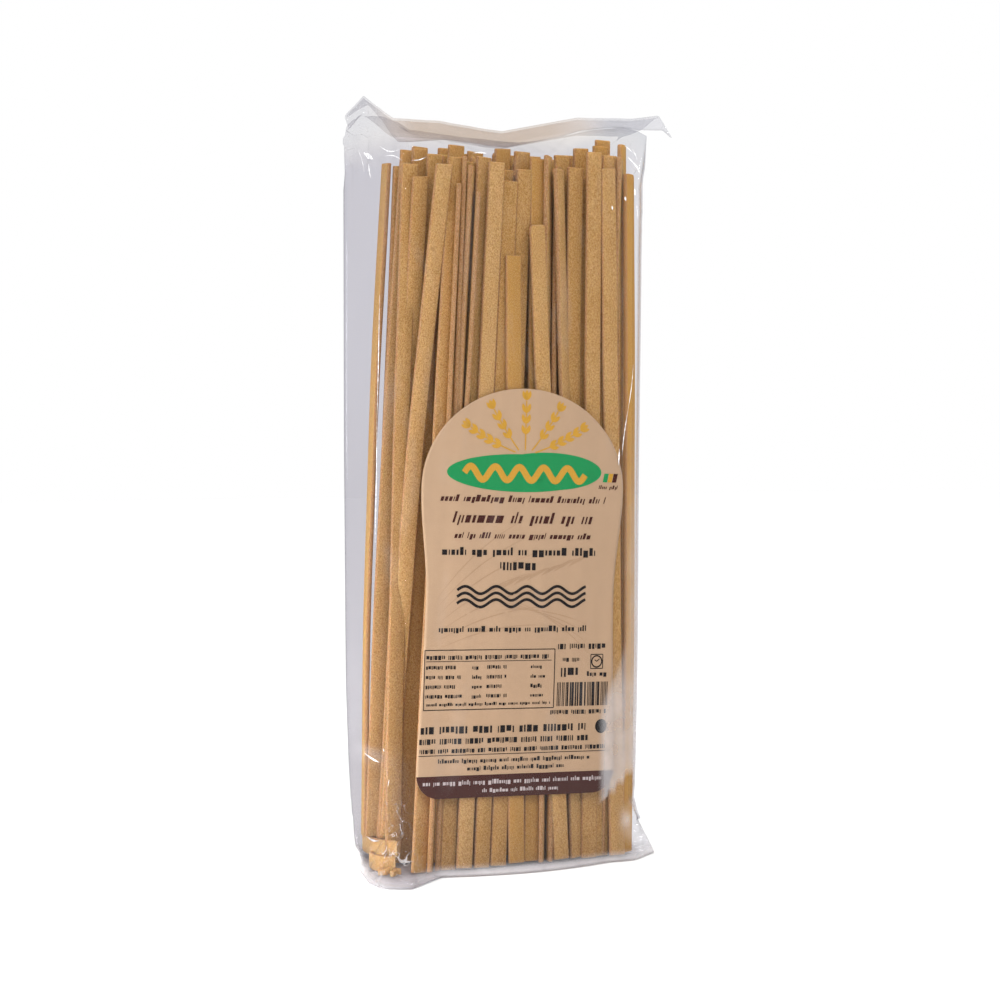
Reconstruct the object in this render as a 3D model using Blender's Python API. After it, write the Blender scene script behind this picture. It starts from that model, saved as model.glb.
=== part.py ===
"""A clear sealed film bag of long dry ribbon pasta, standing upright, with a paper label.

Run with: blender --background --python part.py

The origin is on the floor under the middle of the bag's base. +Z is up, the label
faces -Y, and +X is to the right of someone who looks at the label. Lengths below are
in millimetres and become metres where a mesh is made.

The bag is one closed solid: rings of points are stacked from the floor to the free
edge of the top seal. Each ring has a front half, from the left extreme to the right
one, and a back half that returns, so the flat seal at the top closes point to point.
"""

import math

import bmesh
import bpy
import numpy as np

MM = 0.001

# The filled body of the bag
BODY_HEIGHT = 250.0
BODY_LEFT_X = -45.8
BODY_FRONT_Y = -30.0
CORNER_RADIUS = 4.5
SIDE_MIDDLE_Y = 0.0
RIGHT_SIDE = ((0.0, 42.5), (20.0, 43.5), (60.0, 45.0), (150.0, 46.0), (220.0, 47.0), (250.0, 48.7))
BACK_FACE = ((0.0, 19.0), (7.0, 21.6), (33.0, 25.9), (62.0, 28.6), (150.0, 30.3), (250.0, 31.0))
SHOULDER = ((-46.0, 259.5), (-41.0, 252.5), (-20.0, 248.0), (20.0, 249.0), (49.0, 258.0))
BODY_LEVELS = (0.0, 1.2, 3.5, 7.0, 11.0, 16.0, 23.0, 40.0, 70.0, 105.0, 145.0, 190.0, 232.0)
BASE_EDGE_INSET = 1.2
BASE_EDGE_HEIGHT = 3.5
FOOT_BULGE = 3.0
FOOT_BULGE_HEIGHT = 14.0

# Ridges where the pasta ribbons push the film out, and their lean to the left going down
RIBBON_WIDTH = 6.0
RIDGE_DEPTH = 0.8
RIDGE_LEAN = 6.0
RIDGE_FADE = 10.0

# Film corners folded out at the foot: distance along the outline from the front
# corner, towards the middle of the front, then how far the point moves in X and Y
LEFT_EAR = ((-42.0, 0.0, 0.0), (-18.0, -9.5, 0.0), (-7.0, -15.0, -10.0), (0.0, -15.5, -15.0),
            (4.0, -9.0, -18.0), (7.0, -5.0, -9.0), (11.0, 0.0, 0.0))
LEFT_EAR_HEIGHT = 15.0
RIGHT_EAR = ((-15.0, 0.0, 0.0), (-7.0, 14.0, 0.5), (-3.5, 7.5, -1.0),
             (2.0, 2.5, -3.0), (10.0, 0.0, 0.0))
RIGHT_EAR_HEIGHT = 22.0
EAR_CURVE = 1.4

# The gable and the heat-sealed fin, which rises from it and is folded down to the front
GABLE_STEPS = (0.0, 0.3, 0.6, 0.85)
FIN_THICKNESS = 0.8
FIN_RISE = 6.0
FIN_BEND_RADIUS = 1.3
CREST = ((-54.0, 268.5), (-47.0, 266.0), (-40.0, 262.7), (-20.0, 262.4), (-3.0, 260.3),
         (4.0, 259.8), (20.0, 263.3), (34.0, 266.3), (55.0, 266.8), (65.0, 268.3), (70.0, 264.5))
SEAM_Y = ((-57.0, 6.0), (-35.0, 1.0), (0.0, 0.0), (40.0, -1.0), (68.0, -5.0))
FOLD_DEGREES = ((-51.0, 5.0), (-46.0, 40.0), (-37.0, 150.0), (48.0, 152.0), (68.0, 138.0))
FLAP_LENGTH = ((-52.0, 2.5), (-47.0, 4.5), (-40.0, 6.4), (70.0, 6.4))
LEFT_END = ((0.0, -52.5), (3.5, -54.5), (8.0, -52.0), (14.0, -48.5))
RIGHT_END = ((0.0, 52.5), (2.0, 60.0), (6.0, 65.5), (14.5, 68.5))
FLAP_MIDDLE = 6.4
FIN_FRONT_LEFT = -43.5
FIN_FRONT_RIGHT = 45.0
FIN_STEPS = (0.0, 0.5, 1.0)
BEND_STEPS = (0.35, 0.7, 1.0)
FLAP_STEPS = (0.5, 1.0)

# The paper label, an arch-topped sheet on the front face
LABEL_GAP = 0.3
LABEL_THICKNESS = 0.5
LABEL_HEIGHT = 142.0
LABEL_FOOT_HALF = 36.6
LABEL_WAIST_HALF = 35.2
LABEL_WAIST_HEIGHT = 71.0
LABEL_HEAD_HALF = 37.8
LABEL_HEAD_HEIGHT = 111.0
LABEL_CORNER = 13.0
LABEL_FOOT_Z = 25.4
LABEL_CENTRE_X = -4.0
LABEL_TURN_DEGREES = 1.35
LABEL_ARCH_STEPS = 28
LABEL_SIDE_STEPS = 12
LABEL_CORNER_STEPS = 6


def empty_scene():
    for thing in list(bpy.data.objects):
        bpy.data.objects.remove(thing, do_unlink=True)


def curve_at(table, where):
    """Read a table of (place, value) pairs at one place or at an array of them."""
    places, values = np.array(table).T
    return np.interp(where, places, values)


def smooth(fraction):
    """An S-shaped step: 3t^2 - 2t^3, with t held between 0 and 1."""
    t = np.clip(fraction, 0.0, 1.0)
    return t * t * (3.0 - 2.0 * t)


def half_outline_steps():
    """Shares of the left side, the front and the right side, one for each ring point."""
    side = abs(BODY_FRONT_Y) / RIBBON_WIDTH * 2
    front = 90.0 / RIBBON_WIDTH * 2
    return int(side), int(front)


def rounded(x, y, left, right, front, back):
    """Round a rectangle's corners.

    Each point keeps its direction from the nearest place on the rectangle that is
    inset by the corner radius, and is set one radius away from it.
    """
    inner_x = np.clip(x, left + CORNER_RADIUS, right - CORNER_RADIUS)
    inner_y = np.clip(y, front + CORNER_RADIUS, back - CORNER_RADIUS)
    reach = np.hypot(x - inner_x, y - inner_y)
    scale = CORNER_RADIUS / np.maximum(reach, 1e-6)
    return inner_x + (x - inner_x) * scale, inner_y + (y - inner_y) * scale


def ear_offsets(table, distance):
    ear = np.array(table)
    return np.interp(distance, ear[:, 0], ear[:, 1]), np.interp(distance, ear[:, 0], ear[:, 2])


def body_ring(level):
    """Points of the filled body at one height: X and Y arrays round the ring."""
    side_steps, front_steps = half_outline_steps()
    right = curve_at(RIGHT_SIDE, level)
    back = curve_at(BACK_FACE, level)
    left, front = BODY_LEFT_X, BODY_FRONT_Y
    down = np.linspace(0.0, 1.0, side_steps, endpoint=False)
    across = np.linspace(0.0, 1.0, front_steps, endpoint=False)
    up = np.linspace(0.0, 1.0, side_steps + 1)
    width = right - left
    lean = -RIDGE_LEAN * (0.5 - level / BODY_HEIGHT) * np.sin(math.pi * across)

    front_x = np.concatenate([np.full(side_steps, left), left + width * across + lean,
                              np.full(side_steps + 1, right)])
    front_y = np.concatenate([SIDE_MIDDLE_Y + (front - SIDE_MIDDLE_Y) * down,
                              np.full(front_steps, front),
                              front + (SIDE_MIDDLE_Y - front) * up])
    x, y = rounded(front_x, front_y, left, right, front, back)

    groove = RIDGE_DEPTH * smooth(level / RIDGE_FADE) * smooth((BODY_HEIGHT - level) / RIDGE_FADE)
    odd = np.arange(len(x)) % 2 == 1
    on_front = odd & (y < front + 1e-6)
    on_left = odd & (x < left + 1e-6)
    y = y + np.where(on_front, groove, 0.0)
    x = x + np.where(on_left, groove, 0.0)
    bulge = FOOT_BULGE * (1.0 - smooth(level / FOOT_BULGE_HEIGHT))
    y = y - bulge * np.where(front_y == front, np.sin(math.pi * (front_x - left) / width), 0.0)

    back_x = front_x[::-1][1:-1]
    back_y = SIDE_MIDDLE_Y - (front_y[::-1][1:-1] - SIDE_MIDDLE_Y) * back / abs(front)
    distance_left = np.where(front_x > left, front_x - left, front - front_y)
    distance_right = np.where(front_x < right, right - front_x, front - front_y)
    distance_left = np.concatenate([distance_left, front - back_y - (back_x - left)])
    distance_right = np.concatenate([distance_right, front - back_y - (right - back_x)])
    back_x, back_y = rounded(back_x, back_y, left, right, front, back)
    x = np.concatenate([x, back_x])
    y = np.concatenate([y, back_y])

    left_dx, left_dy = ear_offsets(LEFT_EAR, distance_left)
    right_dx, right_dy = ear_offsets(RIGHT_EAR, distance_right)
    left_share = max(0.0, 1.0 - level / LEFT_EAR_HEIGHT) ** EAR_CURVE
    right_share = max(0.0, 1.0 - level / RIGHT_EAR_HEIGHT) ** EAR_CURVE
    x = x + left_dx * left_share + right_dx * right_share
    y = y + left_dy * left_share + right_dy * right_share

    inset = BASE_EDGE_INSET * (1.0 - smooth(level / BASE_EDGE_HEIGHT))
    middle_x, middle_y = (left + right) / 2.0, (front + back) / 2.0
    reach = np.hypot(x - middle_x, y - middle_y)
    return (x - (x - middle_x) / reach * inset, y - (y - middle_y) / reach * inset)


def fin_path(x, travel):
    """Where the fin's middle sheet is, at a distance along it from the gable.

    It rises, turns forward through the fold angle on a small arc, and runs straight
    on. The fold angle dies out at the left end, which stands unfolded.
    Returns Y, Z and the sheet's direction there.
    """
    fold = np.radians(curve_at(FOLD_DEGREES, x))
    base_y = curve_at(SEAM_Y, x)
    base_z = curve_at(CREST, x) - FIN_RISE
    straight = FIN_RISE - FIN_BEND_RADIUS
    rise = np.minimum(travel, straight)
    bend_length = FIN_BEND_RADIUS * fold
    turned = np.clip(travel - straight, 0.0, bend_length) / FIN_BEND_RADIUS
    run = np.maximum(travel - straight - bend_length, 0.0)
    y = base_y - FIN_BEND_RADIUS * (1.0 - np.cos(turned)) - run * np.sin(fold)
    z = base_z + rise + FIN_BEND_RADIUS * np.sin(turned) + run * np.cos(fold)
    return y, z, turned


def fin_columns(travel):
    """X of each front point of a fin ring.

    The front face's points keep its width, and those of the half sides run on from
    there to the fin's two ends.
    """
    side_steps, front_steps = half_outline_steps()
    left = curve_at(LEFT_END, travel)
    right = curve_at(RIGHT_END, travel)
    return np.concatenate([np.linspace(left, FIN_FRONT_LEFT, side_steps, endpoint=False),
                           np.linspace(FIN_FRONT_LEFT, FIN_FRONT_RIGHT, front_steps,
                                       endpoint=False),
                           np.linspace(FIN_FRONT_RIGHT, right, side_steps + 1)])


def fin_ring(stage, fraction):
    """A flat loop round the fin's sheet: the front skin from left to right, then the back."""
    straight = FIN_RISE - FIN_BEND_RADIUS
    nominal = {"rise": straight * fraction,
               "bend": straight + FIN_BEND_RADIUS * 2.0 * fraction,
               "flap": straight + FIN_BEND_RADIUS * 2.0 + FLAP_MIDDLE * fraction}[stage]
    x = fin_columns(nominal)
    fold = np.radians(curve_at(FOLD_DEGREES, x))
    bend_length = FIN_BEND_RADIUS * fold
    travel = {"rise": np.full(len(x), straight * fraction),
              "bend": straight + bend_length * fraction,
              "flap": straight + bend_length + curve_at(FLAP_LENGTH, x) * fraction}[stage]
    y, z, turned = fin_path(x, travel)
    half = np.full(len(x), FIN_THICKNESS / 2.0)
    half[[0, -1]] = 0.0
    skin_y = half * np.cos(turned)
    skin_z = half * np.sin(turned)
    ring_x = np.concatenate([x, x[::-1][1:-1]])
    ring_y = np.concatenate([y - skin_y, (y + skin_y)[::-1][1:-1]])
    ring_z = np.concatenate([z - skin_z, (z + skin_z)[::-1][1:-1]])
    return np.stack([ring_x, ring_y, ring_z], axis=1)


def bag_rings():
    rings = []
    for level in BODY_LEVELS:
        x, y = body_ring(level)
        rings.append(np.stack([x, y, np.full(len(x), level)], axis=1))
    top_x, top_y = body_ring(BODY_HEIGHT)
    shoulder = np.stack([top_x, top_y, curve_at(SHOULDER, top_x)], axis=1)
    root = fin_ring("rise", 0.0)
    for step in GABLE_STEPS:
        rings.append(shoulder + (root - shoulder) * step)
    rings += [fin_ring("rise", step) for step in FIN_STEPS]
    rings += [fin_ring("bend", step) for step in BEND_STEPS]
    rings += [fin_ring("flap", step) for step in FLAP_STEPS]
    return rings


def plain_material(name, colour, roughness, alpha=1.0):
    material = bpy.data.materials.new(name)
    material.use_nodes = True
    shader = material.node_tree.nodes["Principled BSDF"]
    shader.inputs["Base Color"].default_value = (*colour, 1.0)
    shader.inputs["Roughness"].default_value = roughness
    shader.inputs["Metallic"].default_value = 0.0
    shader.inputs["Alpha"].default_value = alpha
    return material


def make_object(name, mesh_data, material):
    mesh = bpy.data.meshes.new(name)
    mesh_data.to_mesh(mesh)
    mesh_data.free()
    mesh.materials.append(material)
    thing = bpy.data.objects.new(name, mesh)
    bpy.context.scene.collection.objects.link(thing)
    return thing


def make_bag():
    """Join the rings with quads, close the base with one face and the fin's edge with a strip."""
    rings = bag_rings()
    count = len(rings[0])
    half = count // 2
    shape = bmesh.new()
    rows = [[shape.verts.new(point * MM) for point in ring] for ring in rings]
    for lower, upper in zip(rows, rows[1:]):
        for index in range(count):
            following = (index + 1) % count
            shape.faces.new((lower[index], lower[following], upper[following], upper[index]))
    shape.faces.new(rows[0][::-1])
    edge = rows[-1]
    for index in range(half):
        corners = (edge[index], edge[index + 1], edge[(count - index - 1) % count],
                   edge[(count - index) % count])
        shape.faces.new(list(dict.fromkeys(corners)))
    bmesh.ops.recalc_face_normals(shape, faces=shape.faces)
    film = plain_material("pasta_in_film", (0.72, 0.52, 0.31), 0.35)
    bag = make_object("bag", shape, film)
    bag.data.shade_smooth()
    bag.data.set_sharp_from_angle(angle=math.radians(25.0))
    return bag


def label_half_width(height):
    """The label's half width between its foot corners and its arch.

    It narrows from the foot to a waist and widens to the head, each along an S-curve.
    """
    foot_to_waist = smooth(height / LABEL_WAIST_HEIGHT)
    waist_to_head = smooth((height - LABEL_WAIST_HEIGHT)
                           / (LABEL_HEAD_HEIGHT - LABEL_WAIST_HEIGHT))
    lower = LABEL_FOOT_HALF + (LABEL_WAIST_HALF - LABEL_FOOT_HALF) * foot_to_waist
    return lower + (LABEL_HEAD_HALF - LABEL_WAIST_HALF) * waist_to_head


def label_outline():
    """Points round the label, seen from the front: foot corners, sides, then the arch."""
    turn = np.linspace(-math.pi / 2.0, 0.0, LABEL_CORNER_STEPS)
    corner_x = LABEL_FOOT_HALF - LABEL_CORNER + LABEL_CORNER * np.cos(turn)
    corner_z = LABEL_CORNER + LABEL_CORNER * np.sin(turn)
    side_z = np.linspace(LABEL_CORNER, LABEL_HEAD_HEIGHT, LABEL_SIDE_STEPS)[1:]
    side_x = label_half_width(side_z) - (label_half_width(LABEL_CORNER) - LABEL_FOOT_HALF)
    arch = np.linspace(0.0, math.pi, LABEL_ARCH_STEPS)[1:-1]
    arch_x = side_x[-1] * np.cos(arch)
    arch_z = LABEL_HEAD_HEIGHT + (LABEL_HEIGHT - LABEL_HEAD_HEIGHT) * np.sin(arch)
    right_x = np.concatenate([corner_x, side_x])
    right_z = np.concatenate([corner_z, side_z])
    x = np.concatenate([right_x, arch_x, -right_x[::-1]])
    z = np.concatenate([right_z, arch_z, right_z[::-1]])
    turned = math.radians(-LABEL_TURN_DEGREES)
    return (LABEL_CENTRE_X + x * math.cos(turned) - z * math.sin(turned),
            LABEL_FOOT_Z + x * math.sin(turned) + z * math.cos(turned))


def make_label():
    x, z = label_outline()
    near_bag = BODY_FRONT_Y - LABEL_GAP
    shape = bmesh.new()
    outline = [shape.verts.new((px * MM, near_bag * MM, pz * MM)) for px, pz in zip(x, z)]
    face = shape.faces.new(outline)
    pulled = bmesh.ops.extrude_face_region(shape, geom=[face])
    front_points = [item for item in pulled["geom"] if isinstance(item, bmesh.types.BMVert)]
    bmesh.ops.translate(shape, vec=(0.0, -LABEL_THICKNESS * MM, 0.0), verts=front_points)
    bmesh.ops.recalc_face_normals(shape, faces=shape.faces)
    paper = plain_material("label_paper", (0.60, 0.41, 0.27), 0.7)
    return make_object("label", shape, paper)


def main():
    empty_scene()
    make_bag()
    make_label()


main()
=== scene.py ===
"""Looks for a clear film bag of long ribbon pasta with a paper label.

Lengths are in millimetres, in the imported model's frame: the floor is Z 0, the label
faces -Y and +X is to the right of someone who looks at the label. They become metres
where a mesh is made.
"""

import math

import bpy
import numpy as np
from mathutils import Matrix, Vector


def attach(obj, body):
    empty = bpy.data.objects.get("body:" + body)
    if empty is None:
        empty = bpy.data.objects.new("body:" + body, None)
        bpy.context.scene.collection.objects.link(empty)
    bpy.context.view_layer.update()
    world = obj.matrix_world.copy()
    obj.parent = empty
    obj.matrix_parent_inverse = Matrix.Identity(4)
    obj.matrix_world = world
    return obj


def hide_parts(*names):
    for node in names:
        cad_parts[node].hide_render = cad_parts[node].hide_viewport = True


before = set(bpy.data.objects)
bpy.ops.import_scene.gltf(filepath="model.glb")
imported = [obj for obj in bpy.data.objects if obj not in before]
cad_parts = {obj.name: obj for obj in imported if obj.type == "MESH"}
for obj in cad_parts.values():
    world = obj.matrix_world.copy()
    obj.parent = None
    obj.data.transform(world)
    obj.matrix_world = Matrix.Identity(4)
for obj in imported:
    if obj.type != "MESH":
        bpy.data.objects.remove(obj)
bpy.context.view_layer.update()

MM = 0.001

# Camera, as the photograph was taken
CAMERA_AT = (-338.4, -742.5, 153)
CAMERA_HEADING = 24.753
CAMERA_DIP = 1.771
CAMERA_LENS = 81.5

# The film's body. The same sizes as the solid, with the front face just past the label
BODY_HEIGHT = 250.0
BODY_LEFT_X = -45.8
BODY_FRONT_Y = -31.4
PRESSED_FRONT_Y = -31.1
PRESSED_LEFT_X = -45.6
CORNER_RADIUS = 4.5
SIDE_MIDDLE_Y = 0.0
RIGHT_SIDE = ((0, 42.5), (20, 42.9), (60, 43.6), (110, 44.1), (150, 44.5), (215, 44.9), (240, 45.5),
              (250, 48))
BACK_FACE = ((0, 19), (7, 21.6), (33, 25.9), (62, 28.6), (150, 30), (250, 30))
SHOULDER = ((-46, 255.5), (-41, 251.5), (-20, 248), (20, 249), (49, 258))
GABLE_BULGE = 3.2
HORN_FILL = 4.5
BASE_EDGE_INSET = 1.2
BASE_EDGE_HEIGHT = 3.5
FOOT_BULGE = 9.0
FOOT_BULGE_HEIGHT = 14.0
LEFT_EAR = ((-46, 0, 0), (-30, -6, 0), (-18, -11, 0), (-7, -15.6, -10),
            (0, -15.5, -15), (3.5, -9.5, -17.5), (5.5, -6, -8), (8.5, 0, 0))
LEFT_EAR_HEIGHT = 16.0
RIGHT_EAR = ((-15, 0, 0), (-7, 14, 0.5), (-3.5, 7.5, -1), (2, 2.5, -3), (10, 0, 0))
RIGHT_EAR_HEIGHT = 22.0
EAR_CURVE = 1.2

# The heat-sealed fin, which is folded down to the front
FIN_THICKNESS = 0.8
FIN_RISE = 6.0
FIN_BEND_RADIUS = 1.3
CREST = ((-53.6, 262.9), (-47.8, 269.8), (-37.6, 262.3), (-20, 262.2), (-3, 260.3),
         (4, 259.8), (20, 263.3), (34, 266.3), (55, 266.8), (65, 268.3), (70, 264.5))
SEAM_Y = ((-57, 6), (-35, 1), (0, 0), (40, -1), (68, -5))
FOLD_DEGREES = ((-53.6, 100), (-47.8, 125), (-37, 150), (48, 152), (68, 145))
FLAP_LENGTH = ((-53.6, 1.5), (-47.8, 5), (-40, 9), (-33, 8.7), (-17.4, 6.4), (2, 5.8),
               (25.7, 5.4), (46.5, 2.6), (52, 3), (68, 6.3))
LEFT_END = ((0, -52.2), (6, -53.6), (14, -53.4))
RIGHT_END = ((0, 52.5), (2, 60), (6, 65.5), (14.5, 68.5))
FLAP_MIDDLE = 6.4
FIN_FRONT_LEFT = -43.5
FIN_FRONT_RIGHT = 45.0

# How finely the film is divided
SIDE_STEPS = 34
FRONT_STEPS = 120
FOOT_LEVELS = 26
BODY_LEVELS = 72
GABLE_LEVELS = 14
FIN_LEVELS = 8
BASE_RINGS = (0.9, 0.7, 0.45, 0.2)
BASE_RISE = 0.8

# Ribbons
RIBBON_WIDTH = 6.0
RIBBON_THICKNESS = 1.7
RIBBON_EDGE_RADIUS = 0.55
RIBBON_BEVEL = 0.3
ROUND_TIP = 1.3
FILLER_LEFT_X = -40.6
FILLER_RIGHT_X = 41.5
FILLER_FRONT_Y = -22.2
FILLER_BACK_Y = -4.6
FILLER_PITCH = 2.2
FILLER_COLUMNS = 14

# The label
LABEL_HEIGHT = 142.0
LABEL_FOOT_HALF = 38.0
LABEL_WAIST_HALF = 36.0
LABEL_WAIST_HEIGHT = 71.0
LABEL_HEAD_HALF = 38.7
LABEL_HEAD_HEIGHT = 107.0
LABEL_CORNER = 8.5
LABEL_FOOT_Z = 25.4
LABEL_CENTRE_X = -4.0
LABEL_TURN_DEGREES = 1.7
LABEL_MIDDLE_Y = -30.45
LABEL_PAPER = 0.22
INK_THICKNESS = 0.03
# Marks for words, as a share of the line's height: how tall one is, and how far it is shifted up
EVEN_MARKS = ((1, 0), (1, 0), (0.9, -0.05), (0.8, 0.1))
UNEVEN_MARKS = ((0.7, -0.15), (0.7, -0.15), (0.7, -0.15), (1.05, 0.02), (0.95, -0.27))

# The floor
FLOOR_REACH = 4000.0
FLOOR_Z = -0.4


# Shared helpers

def curve_at(table, where):
    """Read a table of (place, value) pairs at one place or at an array of them."""
    places, values = np.array(table, float).T
    return np.interp(where, places, values)


def smooth(fraction):
    """An S-shaped step: 3t^2 - 2t^3, with t held between 0 and 1."""
    t = np.clip(fraction, 0.0, 1.0)
    return t * t * (3.0 - 2.0 * t)


def grid_quads(rows, columns, closed):
    """Quads between neighbouring points of a grid. In a closed one the last column meets the first."""
    row, column = np.meshgrid(np.arange(rows - 1), np.arange(columns if closed else columns - 1),
                              indexing="ij")
    following = (column + 1) % columns
    quads = np.stack([row * columns + column, row * columns + following,
                      (row + 1) * columns + following, (row + 1) * columns + column], axis=-1)
    return quads.reshape(-1, 4)


def make_piece(name, points, quads, triangles=None, values=None, material=None):
    """A mesh object at the origin, from arrays of points in millimetres and of corners."""
    mesh = bpy.data.meshes.new(name)
    faces = quads.tolist() + ([] if triangles is None else triangles.tolist())
    mesh.from_pydata(points * MM, [], faces)
    mesh.shade_smooth()
    for label, numbers in (values or {}).items():
        layer = mesh.attributes.new(label, "FLOAT", "POINT")
        layer.data.foreach_set("value", numbers.astype(np.float32).ravel())
    mesh.materials.append(material)
    piece = bpy.data.objects.new(name, mesh)
    bpy.context.scene.collection.objects.link(piece)
    return piece


def add_wall(piece, thickness):
    """Give a sheet its thickness in millimetres, half to each side."""
    wall = piece.modifiers.new("wall", "SOLIDIFY")
    wall.thickness = thickness * MM
    wall.offset = 0.0


def creases(u, v, seed, sizes, steep):
    """Crumple height over a sheet, whose creases are the tips of its waves.

    Each size in mm adds three triangle waves of that length, in seeded directions, wandering.
    """
    rng = np.random.default_rng(seed)
    height = np.zeros(np.broadcast(u, v).shape)
    for size in sizes:
        for _ in range(3):
            angle, phase, wander = rng.uniform(0.0, (math.pi, 1.0, 2.0 * math.pi))
            along = (u * math.cos(angle) + v * math.sin(angle)) / size
            across = (v * math.cos(angle) - u * math.sin(angle)) / size
            along = along + phase + 0.22 * np.sin(across * 1.7 + wander)
            wave = 4.0 * np.abs(along - np.floor(along) - 0.5) - 1.0
            height = height + size * steep * wave / 3.0
    return height


# Materials

class Nodes:
    """The nodes of a material or of the world, with short ways to add the kinds used here."""

    def __init__(self, owner):
        owner.use_nodes = True
        self.owner, self.tree = owner, owner.node_tree
        self.tree.nodes.clear()

    def add(self, kind, inputs=None, output=0, **settings):
        """Add a node, give each input a value or another node's output, and return one output."""
        made = self.tree.nodes.new("ShaderNode" + kind)
        for name, value in settings.items():
            setattr(made, name, value)
        for name, value in (inputs or {}).items():
            if isinstance(value, bpy.types.NodeSocket):
                self.tree.links.new(value, made.inputs[name])
            else:
                made.inputs[name].default_value = value
        return made.outputs[output]

    def place(self):
        return self.add("TexCoord", output="Object")

    def read(self, name):
        return self.add("Attribute", output="Fac", attribute_name=name)

    def noise(self, place, scale, detail, distortion=0.0, roughness=0.5):
        return self.add("TexNoise", {"Vector": place, "Scale": scale, "Detail": detail,
                                     "Distortion": distortion, "Roughness": roughness})

    def mix(self, share, first, second, blend="MIX"):
        """Blend two colours, given as numbers or outputs, by a share from 0 to 1."""
        first, second = (value if isinstance(value, bpy.types.NodeSocket) else (*value, 1.0)
                         for value in (first, second))
        return self.add("Mix", {0: share, 6: first, 7: second}, 2, data_type="RGBA", blend_type=blend)

    def remap(self, value, low, high, to_low=0.0, to_high=1.0):
        """Read a value from one range into another, held at both ends."""
        return self.add("MapRange", {"Value": value, "From Min": low, "From Max": high,
                                     "To Min": to_low, "To Max": to_high})

    def calc(self, operation, *values):
        return self.add("Math", dict(enumerate(values)), operation=operation)

    def blend(self, share, first, second):
        return self.add("MixShader", {0: share, 1: first, 2: second})

    def finish(self, shader, kind="Material"):
        output = self.tree.nodes.new("ShaderNodeOutput" + kind)
        self.tree.links.new(shader, output.inputs["Surface"])
        return self.owner


def film_material(name):
    """Clear film. It tints what shows through, more so edge on, and mirrors by Schlick's rule.

    The mirrored share is 0.022 + 0.5 f^5, with f one minus the cosine of the angle between
    sight and normal, and f^5 is reduced at the seal. The tint is darker towards the foot,
    which is painted shade, and lighter near the right edge, which is a painted highlight.
    The haze attribute adds a milky share, as where film is sealed or rubbed, and painted
    highlights low on the left face and low on the right. Faint slanted rubs, partly painted
    sheen, lie all over. The crumpled attribute adds small sharp dents to the mirror, which
    sparkle, and painted highlights as white crease lines where a noise passes its middle value.
    """
    nodes = Nodes(bpy.data.materials.new(name))
    place = nodes.place()
    x, _, z = nodes.add("SeparateXYZ", {"Vector": place}).node.outputs
    # Painted shade: the film's tint is darker towards the foot, and a little darker again on the left face
    # there.
    shaded_low_tint = nodes.mix(nodes.remap(x, -0.0435, -0.0455), (0.755, 0.742, 0.770), (0.745, 0.730, 0.755))
    face_on = nodes.mix(nodes.remap(z, 0.17, 0.03), (0.800, 0.792, 0.828), shaded_low_tint)
    # Painted highlight: the tint is lighter towards the film's right edge.
    rightward = nodes.remap(x, 0.036, 0.046)
    face_on = nodes.mix(rightward, face_on, (0.895, 0.895, 0.915))
    upward = nodes.remap(z, 0.2475, 0.2570)
    sealed_tint = nodes.mix(rightward, (0.930, 0.912, 0.900), (0.865, 0.868, 0.885))
    sealed_tint = nodes.mix(nodes.remap(x, -0.038, -0.047), sealed_tint, (0.885, 0.883, 0.896))
    face_on = nodes.mix(upward, face_on, sealed_tint)
    facing = nodes.add("LayerWeight", {"Blend": 0.5}, "Facing")
    below_seal = nodes.remap(upward, 0.0, 1.0, 1.0, 0.12)
    edge_on = nodes.calc("MULTIPLY", nodes.remap(facing, 0.66, 1.0, 0.0, 0.45), below_seal)
    clear = nodes.add("BsdfTransparent", {"Color": nodes.mix(edge_on, face_on, (0.50, 0.49, 0.52))})
    fifth = nodes.calc("MULTIPLY", nodes.calc("POWER", facing, 5.0), below_seal)
    mirrored = nodes.calc("MULTIPLY_ADD", fifth, 0.5, 0.022)
    crumpled = nodes.read("crumpled")
    dented = nodes.add("Bump", {"Strength": crumpled, "Distance": 0.0016,
                                "Height": nodes.noise(place, 230.0, 2.0, 1.6)})
    gloss = nodes.add("BsdfAnisotropic", {"Color": (1.0, 1.0, 1.0, 1.0), "Roughness": 0.08, "Normal": dented})
    cloud = nodes.noise(place, 120.0, 3.0)
    milky = nodes.calc("MULTIPLY", nodes.read("haze"), nodes.remap(cloud, 0.3, 0.7, 0.7, 1.0))
    # Painted highlights: thin white lines in the crumpled places, where a noise passes its middle value.
    off_line = nodes.calc("ABSOLUTE", nodes.calc("SUBTRACT", nodes.noise(place, 135.0, 0.0, 1.2), 0.5))
    line = nodes.calc("MULTIPLY", crumpled, nodes.remap(off_line, 0.0, 0.014, 0.36, 0.0))
    # Faint slanted milky streaks: rubs on the film, and partly painted sheen.
    slanted = nodes.add("Mapping", {"Vector": place, "Rotation": (0.0, 0.6, 0.0), "Scale": (4.0, 1.0, 1.0)})
    rub_and_sheen = nodes.remap(nodes.noise(slanted, 26.0, 3.0, 0.5), 0.56, 0.74, 0.0, 0.05)
    milky = nodes.calc("MAXIMUM", milky, nodes.calc("MAXIMUM", line, rub_and_sheen))
    milk_colour = nodes.mix(nodes.read("warm"), (0.62, 0.605, 0.615), (0.44, 0.325, 0.22))
    milk = nodes.add("BsdfDiffuse", {"Color": milk_colour})
    return nodes.finish(nodes.blend(milky, nodes.blend(mirrored, clear, gloss), milk))


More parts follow.
